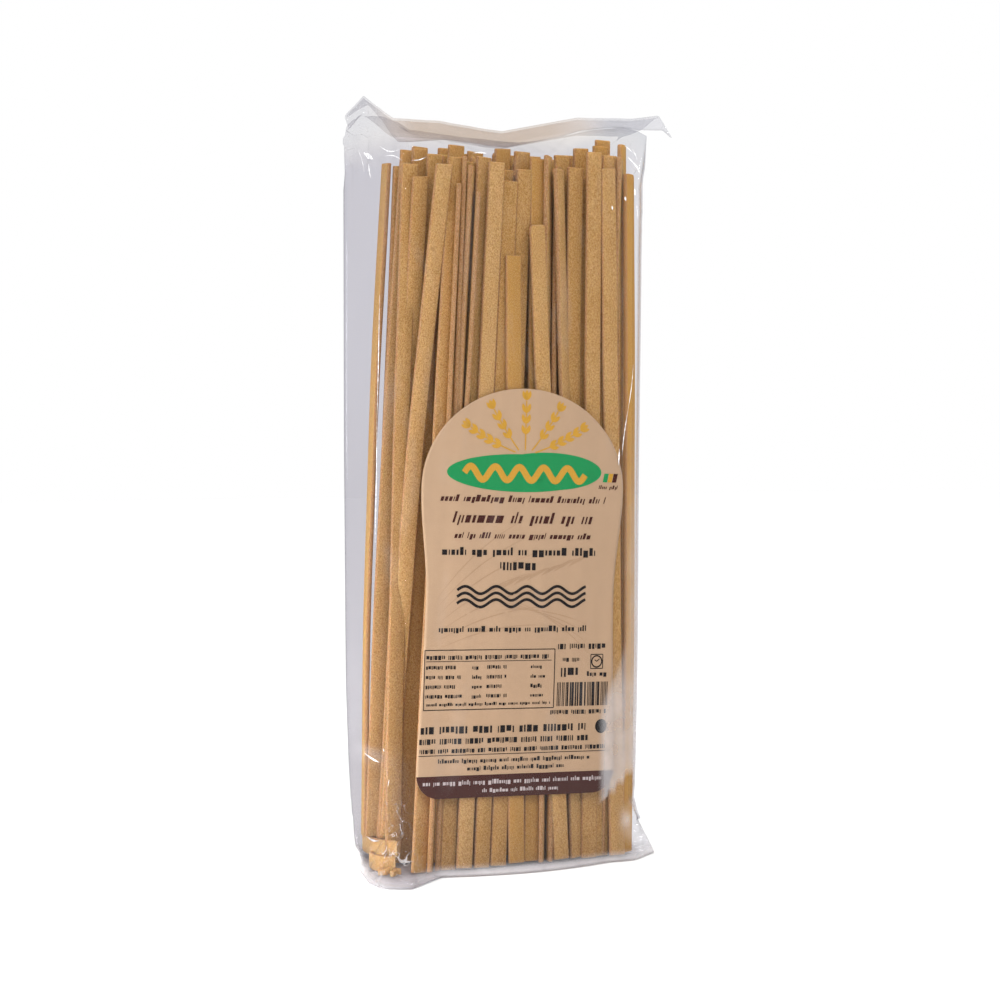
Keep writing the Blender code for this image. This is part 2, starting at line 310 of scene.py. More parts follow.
def pasta_material():
    """Rough dried dough: each ribbon has its own tone, its cut edges are pinker and darker.

    A fine grain about 0.4 mm wide breaks up the colour and the surface, and a slow
    cloud shifts the tone along a ribbon. Glazed ribbons have hardly any grain.
    """
    nodes = Nodes(bpy.data.materials.new("dry_pasta"))
    glaze = nodes.read("glaze")
    stretched = nodes.add("Mapping", {"Vector": nodes.place(), "Scale": (1.0, 1.0, 0.7)})
    grain = nodes.noise(stretched, 2400.0, 2.0, roughness=0.6)
    cloud = nodes.noise(stretched, 70.0, 3.0)
    shade = nodes.calc("ADD", nodes.read("tone"), nodes.remap(cloud, 0.3, 0.7, -0.22, 0.22))
    face = nodes.mix(shade, (0.425, 0.230, 0.061), (0.545, 0.332, 0.124))
    face = nodes.mix(glaze, face, (0.46, 0.240, 0.045))
    edge = nodes.calc("MULTIPLY", nodes.read("edge"), 0.75)
    cut = nodes.calc("MULTIPLY", nodes.read("cut"), 0.5)
    colour = nodes.mix(cut, nodes.mix(edge, face, (0.400, 0.226, 0.105)), (0.60, 0.44, 0.23))
    rough = nodes.calc("SUBTRACT", 1.0, nodes.calc("MULTIPLY", glaze, 0.8))
    specks = nodes.mix(nodes.remap(grain, 0.33, 0.67), (0.73, 0.68, 0.57), (1.22, 1.26, 1.37))
    colour = nodes.mix(rough, colour, nodes.mix(1.0, colour, specks, "MULTIPLY"))
    bump = nodes.add("Bump", {"Strength": nodes.calc("MULTIPLY", rough, 0.45), "Distance": 0.00018,
                              "Height": grain})
    return nodes.finish(nodes.add("BsdfPrincipled", {
        "Base Color": colour, "Roughness": 0.75, "Specular IOR Level": 0.15, "Subsurface Weight": 0.3,
        "Subsurface Radius": (1.0, 0.45, 0.15), "Subsurface Scale": 0.0016, "Normal": bump}))


def paper_material(name, colour, variation):
    """Printed paper: fibres as fine noise, blotches of a darker tone, and painted shade that darkens it
    towards the head and the right.
    """
    nodes = Nodes(bpy.data.materials.new(name))
    place = nodes.place()
    fibre = nodes.noise(place, 900.0, 4.0, roughness=0.7)
    cloud = nodes.noise(place, 45.0, 2.0)
    x, _, z = nodes.add("SeparateXYZ", {"Vector": place}).node.outputs
    darker = tuple(c * (1.0 - variation) for c in colour)
    # Painted shade: darker towards the head and towards the right.
    aside = nodes.calc("ADD", nodes.remap(z, 0.165, 0.03, 0.7, 0.0), nodes.remap(x, -0.030, 0.034))
    tinted = nodes.mix(nodes.calc("MULTIPLY", aside, 0.5), colour, darker)
    tinted = nodes.mix(nodes.remap(cloud, 0.35, 0.7, 0.0, 0.25), tinted, darker)
    fleck = nodes.remap(fibre, 0.3, 0.7, 0.96, 1.03)
    tinted = nodes.mix(1.0, tinted, nodes.add("CombineColor", {0: fleck, 1: fleck, 2: fleck}), "MULTIPLY")
    bump = nodes.add("Bump", {"Strength": 0.15, "Distance": 0.0001, "Height": fibre})
    return nodes.finish(nodes.add("BsdfPrincipled", {"Base Color": tinted, "Roughness": 0.5,
                                                     "Specular IOR Level": 0.2, "Normal": bump}))


# The film

def rounded(x, y, left, right, front, back):
    """Round a rectangle's corners: each point is set one radius from the nearest place on the
    rectangle that is inset by that radius, and keeps its direction from there.
    """
    inner_x = np.clip(x, left + CORNER_RADIUS, right - CORNER_RADIUS)
    inner_y = np.clip(y, front + CORNER_RADIUS, back - CORNER_RADIUS)
    reach = np.hypot(x - inner_x, y - inner_y)
    scale = CORNER_RADIUS / np.maximum(reach, 1e-6)
    return inner_x + (x - inner_x) * scale, inner_y + (y - inner_y) * scale


def body_ring(level):
    """Points of the film round the body at one height: the front half from left to right, then back.

    A rounded rectangle, bulged at the front of its foot. An ear's table gives its offsets
    by the distance along the outline from its front corner, and they fade with height.
    """
    right, back = curve_at(RIGHT_SIDE, level), curve_at(BACK_FACE, level)
    left, front = BODY_LEFT_X, BODY_FRONT_Y
    down = np.linspace(0.0, 1.0, SIDE_STEPS, endpoint=False)
    across = np.linspace(0.0, 1.0, FRONT_STEPS, endpoint=False)
    up = np.linspace(0.0, 1.0, SIDE_STEPS + 1)
    width = right - left
    front_x = np.concatenate([left + 0.0 * down, left + width * across, right + 0.0 * up])
    front_y = np.concatenate([SIDE_MIDDLE_Y + (front - SIDE_MIDDLE_Y) * down, front + 0.0 * across,
                              front + (SIDE_MIDDLE_Y - front) * up])
    x, y = rounded(front_x, front_y, left, right, front, back)
    bulge = FOOT_BULGE * (1.0 - smooth(level / FOOT_BULGE_HEIGHT))
    y = y - bulge * np.where(front_y == front, np.sin(math.pi * (front_x - left) / width), 0.0)
    back_x = front_x[::-1][1:-1]
    back_y = SIDE_MIDDLE_Y - (front_y[::-1][1:-1] - SIDE_MIDDLE_Y) * back / abs(front)
    round_x, round_y = rounded(back_x, back_y, left, right, front, back)
    x, y = np.concatenate([x, round_x]), np.concatenate([y, round_y])

    for table, height, from_front, from_back in (
            (LEFT_EAR, LEFT_EAR_HEIGHT, front_x - left, back_x - left),
            (RIGHT_EAR, RIGHT_EAR_HEIGHT, right - front_x, right - back_x)):
        along_front = np.where(from_front > 0.0, from_front, front - front_y)
        distance = np.concatenate([along_front, front - back_y - from_back])
        places, offset_x, offset_y = np.array(table).T
        share = max(0.0, 1.0 - level / height) ** EAR_CURVE
        x = x + np.interp(distance, places, offset_x) * share
        y = y + np.interp(distance, places, offset_y) * share
    inset = BASE_EDGE_INSET * (1.0 - smooth(level / BASE_EDGE_HEIGHT))
    off_x, off_y = x - (left + right) / 2.0, y - (front + back) / 2.0
    reach = np.hypot(off_x, off_y)
    return x - off_x / reach * inset, y - off_y / reach * inset


def fin_ring(stage, fraction):
    """A flat loop round the fin's sheet: the front skin from left to right, then the back.

    The sheet rises, turns forward through the fold angle on a small arc and runs
    straight on. At the left end its crest rises to a point.
    """
    straight = FIN_RISE - FIN_BEND_RADIUS
    nominal = {"rise": straight * fraction,
               "bend": straight + FIN_BEND_RADIUS * 2.0 * fraction,
               "flap": straight + FIN_BEND_RADIUS * 2.0 + FLAP_MIDDLE * fraction}[stage]
    left = curve_at(LEFT_END, nominal)
    right = curve_at(RIGHT_END, nominal)
    x = np.concatenate([np.linspace(left, FIN_FRONT_LEFT, SIDE_STEPS, endpoint=False),
                        np.linspace(FIN_FRONT_LEFT, FIN_FRONT_RIGHT, FRONT_STEPS, endpoint=False),
                        np.linspace(FIN_FRONT_RIGHT, right, SIDE_STEPS + 1)])
    fold = np.radians(curve_at(FOLD_DEGREES, x))
    bend = FIN_BEND_RADIUS * fold
    travel = {"rise": np.full(len(x), straight * fraction),
              "bend": straight + bend * fraction,
              "flap": straight + bend + curve_at(FLAP_LENGTH, x) * fraction}[stage]
    turned = np.clip(travel - straight, 0.0, bend) / FIN_BEND_RADIUS
    run = np.maximum(travel - straight - bend, 0.0)
    y = curve_at(SEAM_Y, x) - FIN_BEND_RADIUS * (1.0 - np.cos(turned)) - run * np.sin(fold)
    z = (curve_at(CREST, x) - FIN_RISE + np.minimum(travel, straight)
         + FIN_BEND_RADIUS * np.sin(turned) + run * np.cos(fold))
    half = np.full(len(x), FIN_THICKNESS / 2.0)
    half[[0, -1]] = 0.0
    skin_y, skin_z = half * np.cos(turned), half * np.sin(turned)
    return np.stack([np.concatenate([x, x[::-1][1:-1]]),
                     np.concatenate([y - skin_y, (y + skin_y)[::-1][1:-1]]),
                     np.concatenate([z - skin_z, (z + skin_z)[::-1][1:-1]])], axis=1)


def film_rings():
    """All rings of the film from the floor to the fin's free edge, and where the fin starts."""
    levels = np.concatenate([np.linspace(0.0, 23.0, FOOT_LEVELS, endpoint=False),
                             np.linspace(23.0, 246.0, BODY_LEVELS)])
    rings = []
    for level in levels:
        x, y = body_ring(level)
        rings.append(np.stack([x, y, np.full(len(x), level)], axis=1))
    top_x, top_y = body_ring(BODY_HEIGHT)
    shoulder = np.stack([top_x, top_y, curve_at(SHOULDER, top_x)], axis=1)
    root = fin_ring("rise", 0.0)
    forward = np.clip(-top_y / abs(BODY_FRONT_Y), 0.0, 1.0)
    for step in np.linspace(0.0, 1.0, GABLE_LEVELS, endpoint=False):
        ring = shoulder + (root - shoulder) * step
        ring[:, 2] += GABLE_BULGE * math.sin(math.pi * step) * forward
        ring[:, 0] -= HORN_FILL * math.sin(math.pi * step) * smooth((-42.0 - ring[:, 0]) / 4.0)
        rings.append(ring)
    fin_start = len(rings)
    for stage in ("rise", "bend", "flap"):
        rings += [fin_ring(stage, step)
                  for step in np.linspace(0.0, 1.0, FIN_LEVELS, endpoint=stage == "flap")]
    return np.array(rings), fin_start


def ring_normals(rings):
    """Outward unit normals of a closed grid: the cross product of its two directions."""
    along = np.roll(rings, -1, axis=1) - np.roll(rings, 1, axis=1)
    upward = np.gradient(rings, axis=0)
    normal = np.cross(along, upward)
    return normal / np.maximum(np.linalg.norm(normal, axis=2, keepdims=True), 1e-9)


def film_relief(rings, fin_start):
    """Move the film's points for its creases, ripples and the press of the ribbons.

    The body moves along its normals, the fin's two skins move alike in Y, and the gable blends.
    """
    x, y, z = rings[..., 0], rings[..., 1], rings[..., 2]
    row = np.arange(len(rings))[:, None]
    fin = smooth((row - fin_start + GABLE_LEVELS) / GABLE_LEVELS) * np.ones(x.shape)
    crumpled = crumple_share(x, y, z)
    round_place = x - y
    crumple = creases(round_place, z, 11, (12.0, 5.0), 0.09) * crumpled
    slow = 0.12 * np.sin(z / 31.0 + round_place / 23.0) * np.sin(z / 57.0 + 1.3) * (x > -44.0)
    ribbons = 0.12 * np.sin((x + z * 0.04) * 2.0 * math.pi / 6.4) * (y < -24.0)
    normal = ring_normals(rings)
    outward = crumple - 0.25 * np.abs(crumple) + slow + ribbons
    body_shift = normal * (outward * (1.0 - fin) * smooth(z / 4.0))[..., None]
    sheet = creases(x, z, 23, (12.0, 5.0), 0.14) * (0.3 + 0.6 * crumpled) * fin
    moved = rings + body_shift
    moved[..., 1] += sheet
    body = (z > 14.0) & (z < 240.0)
    limit = PRESSED_FRONT_Y + 0.1 * np.maximum(z - 238.0, 0.0)
    pressed = (z > 14.0) & (fin < 0.01) & (y < -27.0)
    moved[..., 1] = np.where(pressed, np.minimum(moved[..., 1], limit), moved[..., 1])
    moved[..., 0] = np.where(body & (x < -45.0), np.minimum(moved[..., 0], PRESSED_LEFT_X), moved[..., 0])
    return moved


def spot(x, z, at_x, at_z, reach_x, reach_z):
    """A soft round patch on the film: the bell curve of the distance from its middle."""
    return np.exp(-((x - at_x) / reach_x) ** 2 - ((z - at_z) / reach_z) ** 2)


def crumple_share(x, y, z):
    """Where the film is crumpled, from 0 to 1: its four corners and the left edge near the foot."""
    horn = spot(x, z, -50.0, 258.0, 9.0, 13.0)
    right_top = spot(x, z, 47.0, 243.0, 7.0, 20.0)
    left_ear = spot(x, y, -50.0, -34.0, 13.0, 18.0) * smooth((36.0 - z) / 28.0)
    right_ear = spot(x, y, 50.0, -28.0, 12.0, 15.0) * smooth((36.0 - z) / 26.0)
    left_low = 0.35 * (x < -44.0) * (y < -8.0) * smooth((48.0 - z) / 14.0)
    return np.clip(horn + 0.6 * right_top + left_ear + right_ear + left_low, 0.0, 1.0)


def film_values(rings, fin_start):
    """Haze, warmth and crumple at each point: the seal is milky and picks up the pasta's colour."""
    x, y, z = rings[..., 0], rings[..., 1], rings[..., 2]
    row = np.arange(len(rings))[:, None] * np.ones(x.shape)
    sealed = smooth((row - fin_start - 1.0) / 3.0) * smooth((x + 49.0) / 12.0)
    foot = smooth((4.5 - z) / 4.0) * (1.0 - 0.75 * spot(x, y, -52.0, -38.0, 10.0, 16.0))
    low = smooth((80.0 - z) / 30.0)
    rubbed = smooth((x - 37.5 + 10.0 * low) / 3.5) * smooth((165.0 - z) / 70.0) * (y < -22.0)
    rubbed = rubbed * (0.5 + 0.5 * low) * smooth((z - 24.0 - (x - 33.0) * 0.9) / 0.8)
    # Painted highlights: milky spots low on the right of the front, and a pale band low on the left face.
    painted_highlight_spots = (spot(x, z, 39.0, 14.0, 2.2, 3.4) + spot(x, z, 43.5, 20.0, 2.6, 1.6)
               + spot(x, z, 44.0, 8.5, 4.0, 2.2)) * (y < -22.0) * (z < 30.0)
    painted_highlight_band = 0.14 * (x < -44.0) * spot(y, z, 2.0, 38.0 + 0.0 * z, 15.0, 2.2)
    haze = 0.006 + 0.16 * sealed + 0.02 * smooth((48.0 - z) / 25.0) + 0.6 * foot + 0.36 * rubbed
    haze = haze + 0.34 * np.clip(painted_highlight_spots, 0.0, 1.0) + painted_highlight_band
    warm = sealed * smooth((x + 46.0) / 20.0) * smooth((46.0 - x) / 30.0)
    return haze, warm, crumple_share(x, y, z)


def make_film(material):
    """The whole film as one closed surface: rings, a base of shrinking rings, a strip along the fin's edge."""
    rings, fin_start = film_rings()
    shaped = film_relief(rings, fin_start)
    count = shaped.shape[1]
    floor_ring = shaped[0]
    centre = floor_ring.mean(axis=0)
    base = [centre + (floor_ring - centre) * share + (0.0, 0.0, BASE_RISE * (1.0 - share))
            for share in BASE_RINGS[::-1]]
    every = np.concatenate([np.array(base), shaped])
    haze, warm, crumpled = film_values(every, fin_start + len(base))
    rows = len(every)
    points = np.concatenate([every.reshape(-1, 3), [centre + (0.0, 0.0, BASE_RISE)]])
    quads = grid_quads(rows, count, True)
    index = np.arange(count)
    pole = np.stack([np.full(count, rows * count), (index + 1) % count, index], axis=1)
    half = count // 2
    last = (rows - 1) * count
    step = np.arange(1, half - 1)
    strip = np.stack([last + step, last + step + 1, last + count - step - 1, last + count - step], axis=1)
    ends = np.array([[last, last + 1, last + count - 1], [last + half - 1, last + half, last + half + 1]])
    values = {"haze": np.append(haze.ravel(), 0.6), "warm": np.append(warm.ravel(), 0.0),
              "crumpled": np.append(crumpled.ravel(), 0.0)}
    film = make_piece("film_bag", points, np.concatenate([quads, strip]),
                      np.concatenate([pole, ends]), values, material)
    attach(film, "root")
    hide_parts("bag")


# Painted highlights: short white glints just off the front face. X and Z of both ends, their middle's sideways
# bow, half width
FRONT_PAINTED_GLINTS = (
    (37.7, 253.2, 41, 250.8, 0.3, 0.26), (38.5, 249.8, 43, 245.4, 0.3, 0.28),
    (41.4, 247.9, 44, 243.6, 0.2, 0.34), (40.6, 252.6, 42.8, 248.6, 0.2, 0.2),
    (41.8, 238.8, 41.9, 235.8, 0.1, 0.42), (37.9, 235.6, 38.3, 233.9, 0, 0.5),
    (32.8, 232, 33, 230.5, 0, 0.42), (42.6, 233, 42.9, 228, 0.1, 0.18),
    (41.4, 176.1, 39.3, 160.1, 0.3, 0.16), (39.3, 160.1, 36.9, 144.1, -0.2, 0.2),
    (35.9, 146.4, 35.6, 140.6, 0, 0.42), (-20.8, 247.8, -15.8, 247.9, 0.2, 0.4),
    (-44, 244.2, -38.1, 245.7, -0.5, 0.22),
)
# The same on the left face, with Y for X; the last two paint the pale slit between two ribbons
LEFT_PAINTED_GLINTS = (
    (-16.6, 31.8, -15.6, 29.4, 0, 0.36), (6.8, 251, -2.6, 247.6, 0, 1.5), (1.9, 246.5, -0.1, 241.4, 0.3, 0.6),
    (-8.6, 251.6, -26.6, 248.2, 1.2, 0.34), (-13.3, 247.4, -29.2, 244.3, -0.9, 0.26),
    (13, 252.8, 6, 244.2, -1, 0.2), (6.7, 38, -7.4, 36.6, 0.3, 0.55),
    (4.7, 8.6, -7.2, 9, 0.7, 0.6), (-11, 42, -11.9, 41, 0, 0.4),
    (-8.4, 200, -5.8, 156.5, -0.2, 0.42), (-5.8, 156.5, -3.9, 113.5, -0.1, 0.42),
)


# A white, partly clear finish for the painted highlights.
def painted_glint_material():
    nodes = Nodes(bpy.data.materials.new("painted_glint"))
    cloud = nodes.noise(nodes.place(), 700.0, 2.0)
    white = nodes.mix(nodes.remap(cloud, 0.35, 0.6), (0.80, 0.80, 0.83), (0.95, 0.95, 0.95))
    shader = nodes.add("BsdfPrincipled", {"Base Color": white, "Roughness": 0.35})
    clear = nodes.add("BsdfTransparent")
    return nodes.finish(nodes.blend(nodes.remap(cloud, 0.4, 0.6, 0.45, 0.95), clear, shader))


def make_painted_glints(material):
    """Painted highlights just off the film: small white tapered strokes on its front face and on its left
    face.
    """
    share = np.linspace(0.0, 1.0, 15)
    rng = np.random.default_rng(8)
    points, quads = [], []
    for number, (along_0, z_0, along_1, z_1, bow, half_width) in enumerate(FRONT_PAINTED_GLINTS + LEFT_PAINTED_GLINTS):
        run, rise = along_1 - along_0, z_1 - z_0
        length = math.hypot(run, rise)
        arch = bow * np.sin(math.pi * share)
        path = np.stack([along_0 + run * share - rise / length * arch,
                         z_0 + rise * share + run / length * arch], axis=1)
        taper = np.sin(math.pi * np.clip(share, 0.03, 0.97)) ** 1.2 * rng.uniform(0.55, 1.1, 15)
        flat, faces = stroke(path, 0.75 * half_width * taper)
        if number < len(FRONT_PAINTED_GLINTS):
            points.append(np.insert(flat, 1, BODY_FRONT_Y - 0.35, axis=1))
        else:
            points.append(np.insert(flat, 0, BODY_LEFT_X - 0.25, axis=1))
        quads.append(faces + number * len(flat))
    piece = make_piece("film_painted_glints", np.concatenate(points), np.concatenate(quads), material=material)
    add_wall(piece, 0.08)
    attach(piece, "root")


# The ribbons of pasta

def ribbon_profile():
    """Cross-section of a ribbon: width and thickness offsets round a rounded rectangle, and edge-ness."""
    half, thick, radius = RIBBON_WIDTH / 2.0, RIBBON_THICKNESS / 2.0, RIBBON_EDGE_RADIUS
    angles = np.radians([0.0, 45.0, 90.0])
    wide, deep = [], []
    for corner in range(4):
        side_u, side_v = ((1, 1), (-1, 1), (-1, -1), (1, -1))[corner]
        turned = angles + math.pi / 2.0 * corner
        wide += list(side_u * (half - radius) + radius * np.cos(turned))
        deep += list(side_v * (thick - radius) + radius * np.sin(turned))
        if corner in (0, 2):
            wide.append(0.0)
            deep.append(side_v * thick)
    wide, deep = np.array(wide), np.array(deep)
    return wide, deep, smooth((np.abs(wide) - half + radius) / (radius * 0.8))


def tip_inset(distance, round_over):
    """How far a side draws in near a ribbon's end: a quarter circle of the given radius."""
    share = 1.0 - np.clip(distance / round_over, 0.0, 1.0)
    return round_over * (1.0 - np.sqrt(1.0 - share * share))


def tube_piece(name, grid, values, material, inside_out=False):
    """Join tubes into one mesh, with a fan over each end.

    The grid holds a point for each tube, step along it and step round it. inside_out is
    for rings that run the other way round.
    """
    count, steps, around = grid.shape[:3]
    quads = grid_quads(steps, around, True)
    index = np.arange(1, around - 1)
    fan = np.stack([np.zeros_like(index), index + 1, index], axis=1)
    triangles = np.concatenate([fan, fan[:, [0, 2, 1]] + (steps - 1) * around])
    if inside_out:
        quads, triangles = quads[:, ::-1], triangles[:, [0, 2, 1]]
    offset = (np.arange(count) * steps * around)[:, None, None]
    cut = np.zeros(grid.shape[:3])
    cut[:, [0, -1]] = 1.0
    spread = {label: numbers + np.zeros(grid.shape[:3]) for label, numbers in values.items()}
    piece = make_piece(name, grid.reshape(-1, 3), (quads + offset).reshape(-1, 4),
                       (triangles + offset).reshape(-1, 3), {**spread, "cut": cut}, material)
    piece.data.set_sharp_from_angle(angle=math.radians(50.0))
    return piece


def make_ribbons(name, strands, material, seed, first_bows=()):
    """Join ribbons into one mesh.

    Each row of strands gives: top X, Y, Z, foot X, Y, Z, turn at the top and at the foot
    in degrees, tone, glaze, and whether its top tip is round. A ribbon's middle line
    runs straight from foot to top with a slight sideways bow, and first_bows adds to that of
    the first rows. Its section is turned about that line, narrows at the ends and wavers a
    little in width.
    """
    rng = np.random.default_rng(seed)
    strands = np.array(strands, float)
    count = len(strands)
    top, foot = strands[:, 0:3], strands[:, 3:6]
    length = np.linalg.norm(top - foot, axis=1)[:, None]
    near = np.array([0.0, 0.12, 0.35, 0.8, 1.5, 2.6])
    middle = np.linspace(0.0, 1.0, 22)[1:-1]
    travel = np.concatenate([near + np.zeros((count, 1)), near[-1] + (length - 2.0 * near[-1]) * middle,
                             length - near[::-1]], axis=1)
    share = travel / length
    wave = rng.uniform(0.0, 2.0 * math.pi, (count, 4))
    bow = rng.normal(0.0, 0.35, (count, 2))
    bow[:len(first_bows), 0] += first_bows
    arch = np.sin(math.pi * share)
    line = foot[:, None, :] + (top - foot)[:, None, :] * share[..., None]
    line[..., 0] += bow[:, :1] * arch + 0.12 * np.sin(share * 14.0 + wave[:, :1]) * arch
    line[..., 1] += bow[:, 1:] * arch * 0.6
    turn = np.radians(strands[:, 7:8] + (strands[:, 6:7] - strands[:, 7:8]) * smooth(share * 1.15 - 0.05))
    round_over = np.where(strands[:, 10:11] > 0.5, ROUND_TIP, RIBBON_BEVEL)
    foot_pull = tip_inset(travel, RIBBON_BEVEL)
    half_u = RIBBON_WIDTH / 2.0 * (1.0 + 0.02 * np.sin(share * 9.0 + wave[:, 1:2]))
    half_v = RIBBON_THICKNESS / 2.0 * (1.0 + 0.04 * np.sin(share * 11.0 + wave[:, 2:3]))
    half_u = half_u - (tip_inset(length - travel, round_over) + foot_pull)
    half_v = half_v - (tip_inset(length - travel, RIBBON_BEVEL) + foot_pull)
    wide, deep, edge = ribbon_profile()
    u = wide / (RIBBON_WIDTH / 2.0) * half_u[..., None]
    v = deep / (RIBBON_THICKNESS / 2.0) * half_v[..., None]
    cos, sin = np.cos(turn)[..., None], np.sin(turn)[..., None]
    dx, dy = u * cos - v * sin, u * sin + v * cos
    slope = (top - foot) / (top - foot)[:, 2:3]
    cut_tilt = rng.normal(0.0, 0.035, (count, 1, 1)) * smooth(share * 40.0 - 38.5)[..., None]
    dz = -(slope[:, 0, None, None] * dx + slope[:, 1, None, None] * dy) + cut_tilt * u
    grid = line[..., None, :] + np.stack([dx, dy, dz], axis=-1)
    values = {"tone": strands[:, 8, None, None], "glaze": strands[:, 9, None, None], "edge": edge}
    piece = tube_piece(name, grid, values, material)
    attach(piece, "root")


# Ribbons that show at the front, from left to right, and then four behind them: top X, Y and Z,
# foot X and Y, turn at the top and at the foot, tone, glaze, round tip
FRONT_RIBBONS = (
    (-42.2, -5.5, 246, -42.8, 15.5, -90, -103, 1.1, 0.3, 0),
    (-38.9, -16.5, 245, -42.3, 8, 6, -4, 0.8, 0, 0),
    (-36.5, -22.5, 240, -40.1, 2, 2, -6, 0.6, 0, 0),
    (-30, -28, 244, -42.2, -6.3, 0, -12, 0.9, 0, 0),
    (-24.5, -25, 247, -39.3, -26.8, 5, 12, 0.5, 0, 0),
    (-24, -27, 237.5, -35.3, -27.6, 66, 62, 0.3, 0, 0),
    (-21.2, -25.5, 247, -31.8, -26.2, 68, 60, 0.3, 0, 0),
    (-19.3, -27, 244, -29.4, -24, 58, 52, 0.6, 0, 0),
    (-17.2, -27.6, 235, -28.4, -26.4, 72, 2, 0.5, 0, 0),
    (-13.7, -24.8, 247.5, -24.4, -24.8, 12, 4, 0.6, 0, 0),
    (-10.4, -28.4, 245.5, -23, -28.5, 0, 0, 0.9, 0, 0),
    (-4.5, -26.4, 239.5, -16.3, -28.3, 3, 1, 0.4, 0, 0),
    (1.9, -24.6, 244, -10, -28.3, 2, 0, 0.5, 0, 0),
    (-4.3, -28.7, 213.5, -3, -28.6, 2, 0, 0.7, 0.55, 0),
    (4.9, -28.7, 224.5, 14.5, -28.5, 0, 0, 0.8, 0.1, 1),
    (7.2, -24.5, 248, 3.3, -27, 2, 2, 0.45, 0.4, 0),
    (10.8, -25.5, 249, 7.6, -27, 48, 58, 0.6, 0, 0),
    (14.2, -26.8, 244.5, 21.6, -26.3, 38, 20, 0.7, 0, 0),
    (21.8, -24.8, 245.5, 20.8, -23, 4, 3, 0.35, 0, 0),
    (27.9, -27.3, 251, 26.4, -26.4, 3, 0, 0.6, 0, 0),
    (33.4, -27.2, 245.5, 36.9, -28.4, 4, 2, 0.65, 0, 0),
    (35.5, -24.4, 250.5, 31.6, -25.6, 6, 5, 0.45, 0, 0),
    (39.6, -24.6, 250, 33.5, -24, 56, 60, 0.35, 0, 0),
    (40.9, -21.8, 249.5, 40.4, -22.4, 48, 40, 0.4, 0, 0),
    (43.8, -23.4, 244.5, 42.2, -25.2, 34, 30, 0.8, 0.9, 1),
    (43.6, -18.5, 255.5, 43.4, -18, 44, 44, 0.8, 0.8, 1),
    (16, -22.6, 246, 10.6, -26.6, 50, 76, 0.3, 0, 0),
    (10.5, -20.5, 247, 14.4, -24.6, 60, 80, 0.25, 0, 0),
    (-37.8, -8, 245, -39.3, 14, 4, 4, 0.35, 0, 0),
    (13, -18.5, 245.5, 12, -21, 60, 70, 0.4, 0, 0),
)
# How far the four outermost ribbons on the left bow outwards in their middle
LEFT_BOWS = (-2.2, -0.9, 0, -2.1)

# Ribbons behind them whose tops stand higher
BACK_RIBBONS = (
    (-36.3, -11, 250.3, -40, 11, 3, 3, 0.4, 0.1, 0),
    (-33.6, -15, 250.5, -35.6, 5, 2, 2, 0.4, 0, 0),
    (-29.9, -19.5, 248.3, -33.6, -4, 4, 4, 0.5, 0, 0),
    (-20, -15.5, 252.3, -27.6, -10, 3, 3, 0.35, 0.1, 0),
    (-2.2, -15.5, 252, -8.5, -10, 2, 2, 0.35, 0.1, 0),
    (4.2, -18, 251, -0.6, -11, 3, 3, 0.3, 0.1, 0),
    (19, -19.5, 250.3, 22.5, -12, 2, 2, 0.4, 0, 0),
    (28.6, -15.5, 253.7, 29, -10, 4, 4, 0.3, 0.1, 0),
    (40.2, -10, 257.8, 39.4, -8, 3, 3, 0.3, 0.2, 0),
    (36, -16.5, 254.7, 35.4, -12, 2, 2, 0.25, 0.2, 0),
)
FOOT_Z = 1.0
FOOT_OVER_PIECE = ((-10, 10.6), (2, 8.8), (15, 6.7))


def named_strands(rows):
    """Give the listed rows their foot Z: uneven on the floor, higher over the broken piece."""
    rng = np.random.default_rng(5)
    strands = []
    for row in rows:
        foot_x, foot_y = row[3:5]
        foot_z = FOOT_Z + rng.uniform(-0.4, 0.5)
        if foot_x < -41.5:
            foot_z = float(curve_at(FOOT_OVER_PIECE, foot_y))
        strands.append((*row[:5], foot_z, *row[5:]))
    return strands


def filler_strands(taken):
    """The rest of the bundle: seeded layers of ribbons behind the listed ones.

    A ribbon is kept if its top is clear of those already there, its foot isn't among the
    broken pieces, and it doesn't close the slit between the two last ribbons on the left.
    """
    rng = np.random.default_rng(17)
    kept = list(taken)
    sight = math.radians(24.5)
    for layer, y in enumerate(np.arange(FILLER_FRONT_Y, FILLER_BACK_Y + 0.1, FILLER_PITCH)):
        for x in np.linspace(FILLER_LEFT_X, FILLER_RIGHT_X, FILLER_COLUMNS) + (layer % 2) * 2.4 - 1.2:
            jitter_x, jitter_y, turn, tone, height = rng.uniform(-1.0, 1.0, 5)
            top_x, top_y = x + jitter_x * 0.4, y + jitter_y * 0.12
            lean = 11.0 * smooth((34.0 - top_x) / 26.0) * smooth((top_x + 46.0) / 22.0)
            foot_x = max(top_x - lean, -42.4)
            pushed = 9.0 * smooth((-22.0 - top_x) / 12.0)
            foot_y = min(FILLER_FRONT_Y + (top_y - FILLER_FRONT_Y) * 1.75 + pushed, 14.0)
            seen_at = (top_x + foot_x) / 2.0 * math.cos(sight) - (top_y + foot_y) / 2.0 * math.sin(sight)
            clear = all(abs(top_x - other[0]) > 5.6 or abs(top_y - other[1]) > 1.9 for other in kept)
            if seen_at < -33.6 or (foot_x < -31.0 and foot_y < -12.0) or not clear:
                continue
            top_z = 242.5 + height * 4.0 + 6.0 * smooth((top_y + 18.0) / 10.0)
            kept.append((top_x, top_y, top_z, foot_x, foot_y, FOOT_Z + tone * 0.5,
                         turn * 5.0, turn * 5.0, 0.45 + 0.3 * tone, 0.0, 0))
    return kept[len(taken):]


